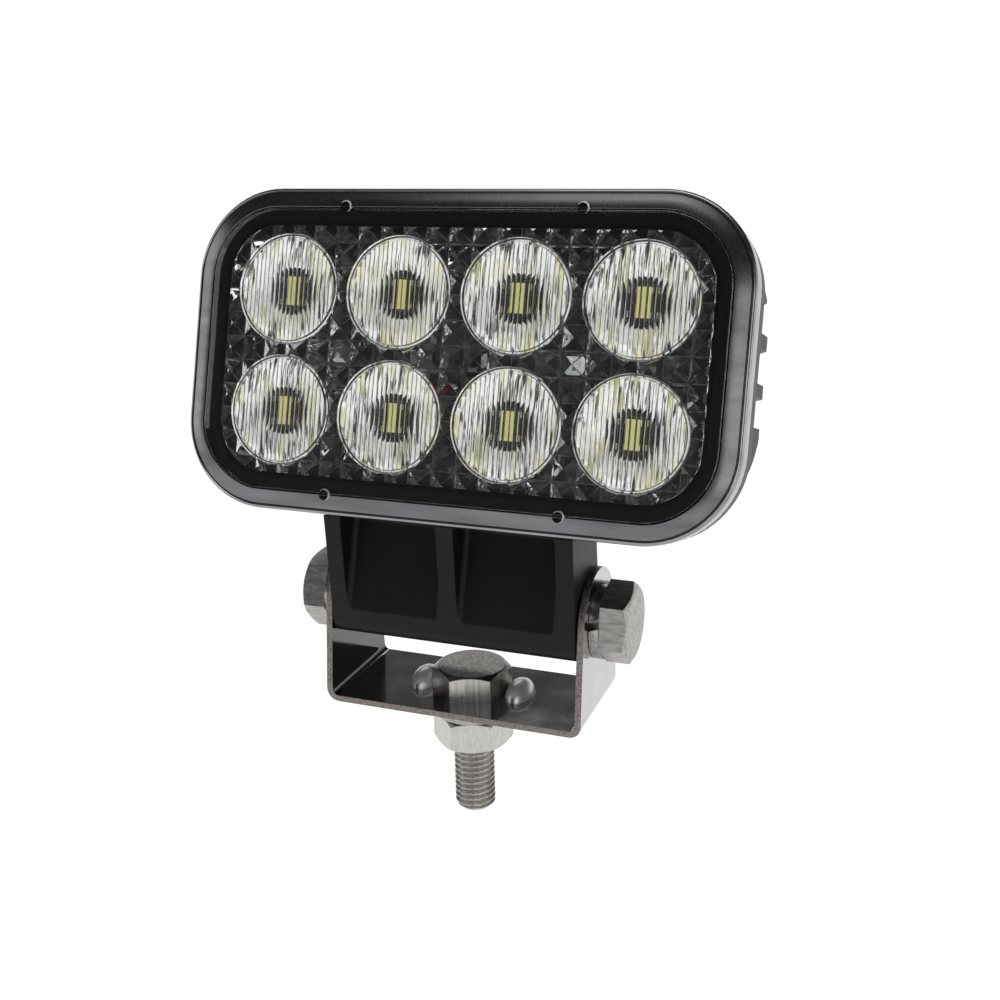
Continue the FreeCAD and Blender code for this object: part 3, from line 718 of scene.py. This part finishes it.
def window(number, cx, cz, material):
    """A round window with upright flutes on its back."""
    radius = COLLAR_IN_R - 0.03
    step = FLUTE_PITCH / FLUTE_STEPS
    columns = int(radius / step)
    levels = 10
    points, faces = [], []
    for index in range(-columns, columns + 1):
        x = index * step
        half = math.sqrt(max(radius ** 2 - x ** 2, 0.01))
        for level in range(levels + 1):
            z = half * (2 * level / levels - 1)
            points.append((cx + x, WINDOW_BACK_Y + flute_depth(x), cz + z))
    count = levels + 1
    for index in range(2 * columns):
        for level in range(levels):
            low = index * count + level
            faces.append((low, low + 1, low + count + 1, low + count))
    back_count = len(points)
    lower = [index * count for index in range(2 * columns + 1)]
    upper = [index * count + levels for index in range(2 * columns, -1, -1)]
    left = list(range(levels - 1, 0, -1))
    right = [2 * columns * count + level for level in range(1, levels)]
    rim = lower + right + upper + left
    for index in rim:
        x, _, z = points[index]
        points.append((x, WINDOW_FRONT_Y, z))
    front = list(range(back_count, back_count + len(rim)))
    faces.append(tuple(front))
    for here in range(len(rim)):
        after = (here + 1) % len(rim)
        faces.append((rim[here], rim[after], front[after], front[here]))
    return add_head_mesh("lens_window_" + str(number), points, faces, [material], (), 35.0)


def turned(name, cx, cz, section, materials, replaces=(), sharp=30.0, steps=72):
    """A closed (radius, y) section turned about an optic's axis."""
    points, faces = [], []
    count = len(section)
    for step in range(steps):
        angle = 2 * math.pi * step / steps
        for radius, y in section:
            points.append((cx + radius * math.cos(angle), y, cz + radius * math.sin(angle)))
    for step in range(steps):
        low = step * count
        high = ((step + 1) % steps) * count
        for index in range(count):
            after = (index + 1) % count
            faces.append((low + index, low + after, high + after, high + index))
    return add_head_mesh(name, points, faces, materials, replaces, sharp)


def collar(number, cx, cz, material):
    """The clear ring that stands behind the lens round one window."""
    section = [(COLLAR_IN_R, 2.3), (COLLAR_IN_R, COLLAR_BACK - 0.2), (COLLAR_IN_R + 0.2, COLLAR_BACK)]
    section += [(COLLAR_R - 0.2, COLLAR_BACK), (COLLAR_R, COLLAR_BACK - 0.2), (COLLAR_R, 2.3)]
    return turned("lens_collar_" + str(number), cx, cz, section, [material], (), 60.0)


def reflector(number, cx, cz, material):
    """The cup: an inner curve of small steps and an outer one a wall's thickness away."""
    inner, outer = [], []
    steps = 14
    for step in range(steps + 1):
        share = step / steps
        y = CUP_FRONT + (CUP_BACK - CUP_FRONT) * share
        radius = CUP_FRONT_R + (CUP_BACK_R - CUP_FRONT_R) * share + CUP_BULGE * 4 * share * (1 - share)
        inner.append((radius - CUP_WALL, y))
        outer.append((radius, y))
    section = inner + outer[::-1]
    replaced = ["reflector_" + str(number)]
    return turned("reflector_cup_" + str(number), cx, cz, section, [material], replaced, 30.0)


def block(cx, cz, width, height, front, back, edge, points, faces):
    """A box with a chamfered front, added to points and faces. Gives the number of faces."""
    low = len(points)
    for y, inset in ((back, 0.0), (front + edge, 0.0), (front, edge)):
        half_w = width / 2 - inset
        half_h = height / 2 - inset
        for side_x, side_z in ((-1, -1), (1, -1), (1, 1), (-1, 1)):
            points.append((cx + side_x * half_w, y, cz + side_z * half_h))
    faces.append((low, low + 1, low + 2, low + 3))
    faces.append((low + 11, low + 10, low + 9, low + 8))
    for ring in (0, 4):
        for side in range(4):
            after = (side + 1) % 4
            near, far = low + ring, low + ring + 4
            faces.append((near + side, far + side, far + after, near + after))
    return 10


def led(number, cx, cz, base, chip, pad):
    """One LED: its dark base, the yellow strip of chips and four bright contacts."""
    points, faces, slots = [], [], []
    front = BOARD_FRONT - LED_BASE_T
    slots += [0] * block(cx, cz, LED_SIDE, LED_SIDE, front, BOARD_FRONT, 0.15, points, faces)
    slots += [1] * block(cx, cz, LED_CHIP_W, LED_CHIP_H, front - LED_CHIP_T, front, 0.12, points, faces)
    pad_w, pad_h, pad_t = LED_PAD
    for sign in (-1, 1):
        for level in (-1, 1):
            pad_x = cx + sign * LED_PAD_X
            pad_z = cz + level * LED_PAD_Z
            slots += [2] * block(pad_x, pad_z, pad_w, pad_h, front - pad_t, front, 0.02, points, faces)
    replaced = ["led_" + str(number)]
    return add_head_mesh("led_chip_" + str(number), points, faces, [base, chip, pad], replaced, 20.0, slots)


# mounting bolt


def hexagon_radius(angle):
    """Distance from the axis to the hexagon's side at this angle in degrees."""
    local = (angle - HEX_ANGLE) % 60.0 - 30.0
    return HEX_FLATS / 2 / math.cos(math.radians(local))


def bolt_head(points, faces):
    """Hexagon head with its corners turned off on a 30 degree cone. The top is very slightly dished."""
    steps = 144
    top = BOLT_SEAT_Z + BOLT_HEAD_H
    rings = []
    for share in (0.0, 0.35, 0.7, 1.0):
        ring = []
        for step in range(steps):
            angle = HEX_ANGLE + 360.0 * step / steps
            radius = hexagon_radius(angle)
            side_top = top - max(radius - HEX_CHAMFER_R, 0.0) * math.tan(math.radians(30.0))
            z = BOLT_SEAT_Z + (side_top - BOLT_SEAT_Z) * share
            turn = math.radians(angle)
            ring.append((radius * math.cos(turn), radius * math.sin(turn), z))
        rings.append(ring)
    for radius, z in ((HEX_CHAMFER_R, top), (HEX_CHAMFER_R - 0.3, top), (6.6, top - 0.02), (3.0, top - 0.03)):
        ring = []
        for step in range(steps):
            angle = math.radians(HEX_ANGLE + 360.0 * step / steps)
            ring.append((radius * math.cos(angle), radius * math.sin(angle), z))
        rings.append(ring)
    low = len(points)
    skin_points, skin_faces = skin(rings, False)
    points += skin_points
    faces += [tuple(low + index for index in face) for face in skin_faces]
    faces.append(tuple(low + (len(rings) - 1) * steps + step for step in range(steps)))
    faces.append(tuple(low + step for step in range(steps - 1, -1, -1)))


def thread_radius(angle, z):
    """Radius of the screw thread: flat crests, straight flanks, rounded roots and a chamfered end."""
    turn = (z / THREAD_PITCH - angle / (2 * math.pi)) % 1.0
    rise = abs(turn - 0.5) * 2
    depth = min(max((rise - THREAD_CREST) / THREAD_FLANK, 0.0), 1.0)
    smooth = depth * depth * (3 - 2 * depth)
    depth = smooth * ROOT_ROUNDING + depth * (1 - ROOT_ROUNDING)
    radius = THREAD_R - THREAD_DEPTH * depth
    end = THREAD_R - BOLT_TIP_CHAMFER + (z - BOLT_TIP_Z)
    return min(radius, end)


def threaded_shank(points, faces):
    """Plain shank through the plate, washers and nut, then the thread down to the tip."""
    steps = 96
    rings = []
    for z in (BOLT_SEAT_Z, THREAD_TOP_Z + 0.02):
        ring = []
        for step in range(steps):
            angle = 2 * math.pi * step / steps
            ring.append((SHANK_R * math.cos(angle), SHANK_R * math.sin(angle), z))
        rings.append(ring)
    levels = 190
    for level in range(levels + 1):
        z = THREAD_TOP_Z + (BOLT_TIP_Z - THREAD_TOP_Z) * level / levels
        ring = []
        for step in range(steps):
            angle = 2 * math.pi * step / steps
            radius = thread_radius(angle, z)
            ring.append((radius * math.cos(angle), radius * math.sin(angle), z))
        rings.append(ring)
    low = len(points)
    skin_points, skin_faces = skin(rings, False)
    points += skin_points
    faces += [tuple(low + index for index in reversed(face)) for face in skin_faces]
    faces.append(tuple(low + (len(rings) - 1) * steps + step for step in range(steps - 1, -1, -1)))
    faces.append(tuple(low + step for step in range(steps)))


def mounting_bolt(material):
    """Head and threaded shank, as two closed shells in one piece."""
    points, faces = [], []
    bolt_head(points, faces)
    threaded_shank(points, faces)
    placed = [row_point(*p) for p in points]
    return add_mesh("mounting_bolt_threaded", placed, faces, [material], "bracket", ["mounting_bolt"], 28.0)


def paint(name, material):
    """Give a CAD node its material."""
    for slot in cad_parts[name].material_slots:
        slot.material = material


# stage


def emission_world():
    """A studio: white sweep below and level, a dark gap above it, and a soft light overhead."""
    world = bpy.data.worlds.new("studio")
    bpy.context.scene.world = world
    world.use_nodes = True
    tree = world.node_tree
    background = tree.nodes["Background"]
    coordinates = tree.nodes.new("ShaderNodeTexCoord")
    parts = tree.nodes.new("ShaderNodeSeparateXYZ")
    tree.links.new(coordinates.outputs["Generated"], parts.inputs[0])
    lean = tree.nodes.new("ShaderNodeMath")
    lean.operation = "MULTIPLY_ADD"
    lean.inputs[1].default_value = WORLD_LEAN
    tree.links.new(parts.outputs["Y"], lean.inputs[0])
    tree.links.new(parts.outputs["Z"], lean.inputs[2])
    half = tree.nodes.new("ShaderNodeMapRange")
    half.inputs["From Min"].default_value = -1.0
    tree.links.new(lean.outputs["Value"], half.inputs["Value"])
    ramp = tree.nodes.new("ShaderNodeValToRGB")
    while len(ramp.color_ramp.elements) < len(WORLD_LEVELS):
        ramp.color_ramp.elements.new(0.5)
    for element, (place, level) in zip(ramp.color_ramp.elements, WORLD_LEVELS):
        element.position = place
        element.color = (level, level, level * 1.01, 1.0)
    tree.links.new(half.outputs["Result"], ramp.inputs["Fac"])
    tree.links.new(ramp.outputs["Color"], background.inputs["Color"])
    background.inputs["Strength"].default_value = WORLD_STRENGTH


def area_light(name, place, target, size, power):
    """A soft box. Places are in metres."""
    light = bpy.data.lights.new(name, "AREA")
    light.shape = "RECTANGLE"
    light.size, light.size_y = size
    light.energy = power
    lamp = bpy.data.objects.new(name, light)
    bpy.context.collection.objects.link(lamp)
    lamp.location = place
    direction = Vector(target) - Vector(place)
    lamp.rotation_euler = direction.to_track_quat("-Z", "Y").to_euler()
    return lamp


def floor():
    """A pale sweep that glows a little, so that it reads as white."""
    n = Nodes("pale_floor")
    grain = n.noise(8.0, 3.0)
    n.surface(Base_Color=n.colours(grain, [(0.3, (0.14, 0.14, 0.14)), (0.7, (0.16, 0.16, 0.16))]))
    n.surface(Roughness=0.9, Specular_IOR_Level=0.0, Emission_Strength=FLOOR_GLOW)
    n.shader.inputs["Emission Color"].default_value = (1.0, 1.0, 1.0, 1.0)
    mesh = bpy.data.meshes.new("floor")
    signs = ((-1, -1), (1, -1), (1, 1), (-1, 1))
    corners = [(x * FLOOR_HALF, y * FLOOR_HALF, FLOOR_Z) for x, y in signs]
    mesh.from_pydata(corners, [], [(0, 1, 2, 3)])
    mesh.materials.append(n.material)
    piece = bpy.data.objects.new("floor", mesh)
    bpy.context.collection.objects.link(piece)


def camera():
    """Placed at the photograph's angle: turned, looking down a little, and rolled very slightly."""
    level = math.cos(CAMERA_PITCH)
    forward = Vector((-math.sin(CAMERA_YAW) * level, math.cos(CAMERA_YAW) * level, -math.sin(CAMERA_PITCH)))
    right = Vector((math.cos(CAMERA_YAW), math.sin(CAMERA_YAW), 0.0))
    down = forward.cross(right)
    rolled_right = right * math.cos(CAMERA_ROLL) + down * math.sin(CAMERA_ROLL)
    rolled_up = right * math.sin(CAMERA_ROLL) - down * math.cos(CAMERA_ROLL)
    data = bpy.data.cameras.new("camera")
    data.lens = CAMERA_LENS
    data.sensor_width = 36.0
    data.clip_start = 0.01
    view = bpy.data.objects.new("camera", data)
    bpy.context.collection.objects.link(view)
    turn = Matrix((rolled_right, rolled_up, -forward)).transposed().to_4x4()
    view.matrix_world = Matrix.Translation(row_point(*CAMERA_PLACE)) @ turn
    bpy.context.scene.camera = view


cast = cast_paint()
satin = bezel_metal("bezel_satin_bevel", (0.13, 0.133, 0.137), (0.20, 0.204, 0.208), 0.18, 0.28)
turned_rim = bezel_metal("bezel_bright_rim", (0.24, 0.244, 0.25), (0.34, 0.344, 0.35), 0.16, 0.26)
clear = clear_plastic("clear_polycarbonate", (0.985, 0.99, 0.99))
prism_clear = clear_plastic("prism_polycarbonate", (0.80, 0.82, 0.83))
# ridge lines painted pale grey: a painted glint
prism_ridge = moulded("prism_ridges_painted_glint", (0.16, 0.165, 0.17), (0.62, 0.625, 0.63), 0.2, 0.4, 900.0)
# prism sides painted grey: a painted reflection
prism_reflection_paint = moulded("prism_sides_painted_reflection", (0.05, 0.05, 0.05), (0.42, 0.42, 0.415), 0.15, 0.35, 420.0)
border_dark = (0.0035, 0.004, 0.0055)
border = moulded("lens_border_black", border_dark, (0.006, 0.0068, 0.009), 0.35, 0.5, 1500.0, 0.12)
# notch crescents are pale grey: a painted glint
notch_glint_paint = moulded("notch_painted_glint", (0.42, 0.42, 0.42), (0.80, 0.80, 0.79), 0.3, 0.5, 700.0)
fluted = fluted_plastic()
sheet = polished_sheet()
upright, along_pivot = (1.0, 1.0, 0.05), (0.2, 1.0, 1.0)
bolt_steel = brushed_steel("bolt_steel", upright, (0.30, 0.29, 0.27), (0.58, 0.56, 0.53), 0.26, 0.40, 0.97)
nut_steel = brushed_steel("nut_steel", (1.0, 1.0, 0.3), (0.46, 0.45, 0.43), (0.56, 0.55, 0.53), 0.18, 0.30)
pivot_dark, pivot_light = (0.26, 0.252, 0.238), (0.46, 0.45, 0.425)
pivot_steel = brushed_steel("pivot_bolt_steel", along_pivot, pivot_dark, pivot_light, 0.32, 0.46)
washer_dark, washer_light = (0.26, 0.25, 0.24), (0.46, 0.45, 0.43)
washer_steel = brushed_steel("washer_steel", (0.4, 0.4, 0.4), washer_dark, washer_light, 0.18, 0.34)
rubber = moulded("gasket_rubber", (0.004, 0.0045, 0.006), (0.007, 0.0078, 0.010), 0.6, 0.8, 1500.0, 0.10)
pad_grey = moulded("thermal_pad_silicone", (0.36, 0.40, 0.44), (0.46, 0.50, 0.55), 0.7, 0.85)
mask = board_mask()
# reflector colour: painted reflections and a painted glow
mirror = crumpled_mirror()
screw = plated("screw_zinc", (0.66, 0.66, 0.64), (0.82, 0.82, 0.80), 0.12, 0.28)
led_base = moulded("led_base", (0.012, 0.012, 0.012), (0.03, 0.03, 0.028), 0.3, 0.45)
chip = phosphor()
pads = plated("led_contacts", (0.85, 0.83, 0.74), (0.95, 0.93, 0.85), 0.15, 0.3)
ferrite = moulded("inductor_ferrite", (0.10, 0.10, 0.10), (0.17, 0.17, 0.18), 0.35, 0.5)
can = plated("capacitor_can", (0.72, 0.72, 0.74), (0.86, 0.86, 0.88), 0.12, 0.26)
epoxy = moulded("chip_epoxy", (0.020, 0.020, 0.022), (0.045, 0.045, 0.048), 0.45, 0.6)
ceramic = moulded("resistor_ceramic", (0.62, 0.58, 0.45), (0.82, 0.79, 0.70), 0.3, 0.5, 900.0)
red = moulded("wire_red", (0.45, 0.012, 0.012), (0.62, 0.03, 0.025), 0.3, 0.42)
black = moulded("wire_black", (0.012, 0.012, 0.012), (0.03, 0.03, 0.03), 0.35, 0.5)
nylon = moulded("gland_nylon", (0.012, 0.012, 0.013), (0.028, 0.028, 0.03), 0.38, 0.55)
vent_plastic = moulded("vent_plastic", (0.016, 0.016, 0.018), (0.034, 0.034, 0.036), 0.42, 0.6)

bezel(satin, turned_rim)
notch_centres = [(x, z) for z in (NOTCH_Z, -NOTCH_Z) for x in (-NOTCH_X, NOTCH_X)]
for number, (notch_x, notch_z) in enumerate(notch_centres, 1):
    notch(number, notch_x, notch_z, border, notch_glint_paint)
lens_slab(clear)
lens_skirt(border)
prism_field((prism_clear, prism_ridge, prism_reflection_paint))
for number, (optic_x, optic_z) in enumerate(optic_centres(), 1):
    window(number, optic_x, optic_z, fluted)
    collar(number, optic_x, optic_z, clear)
    reflector(number, optic_x, optic_z, mirror)
    led(number, optic_x, optic_z, led_base, chip, pads)
mounting_bolt(bolt_steel)

finishes = {
    "housing": cast,
    "lens_gasket": rubber,
    "led_board": mask,
    "thermal_pad": pad_grey,
    "board_screws": screw,
    "power_inductor": ferrite,
    "filter_capacitors": can,
    "driver_chips": epoxy,
    "chip_resistors": ceramic,
    "feed_wire_red": red,
    "feed_wire_black": black,
    "cable_gland": nylon,
    "breather_vent": vent_plastic,
    "mounting_bracket": sheet,
    "mounting_nut": nut_steel,
    "mounting_flat_washer": washer_steel,
    "mounting_spring_washer": washer_steel,
    "pivot_bolt_left": pivot_steel,
    "pivot_bolt_right": pivot_steel,
    "pivot_spring_washer_left": washer_steel,
    "pivot_spring_washer_right": washer_steel,
}
for node_name, finish in finishes.items():
    paint(node_name, finish)

emission_world()
floor()
camera()
area_light("left_softbox", (-1.0, -0.25, 0.35), (0.0, 0.0, 0.08), (0.5, 0.5), 1.1)
area_light("front_softbox", (0.55, -0.80, 0.30), (0.0, 0.0, 0.05), (0.5, 0.5), 1.2)
area_light("right_softbox", (0.95, 0.10, 0.25), (0.0, 0.0, 0.07), (0.6, 0.6), 0.75)
area_light("back_softbox", (-0.45, 0.90, 0.80), (0.0, 0.0, 0.06), (0.8, 0.35), 1.2)
area_light("top_softbox", (0.0, -0.20, 1.10), (0.0, 0.0, 0.08), (0.8, 0.5), 1.6)

scene = bpy.context.scene
scene.view_settings.view_transform = "Standard"
scene.cycles.use_denoising = True
scene.cycles.max_bounces = 24
scene.cycles.transmission_bounces = 20
scene.cycles.glossy_bounces = 12
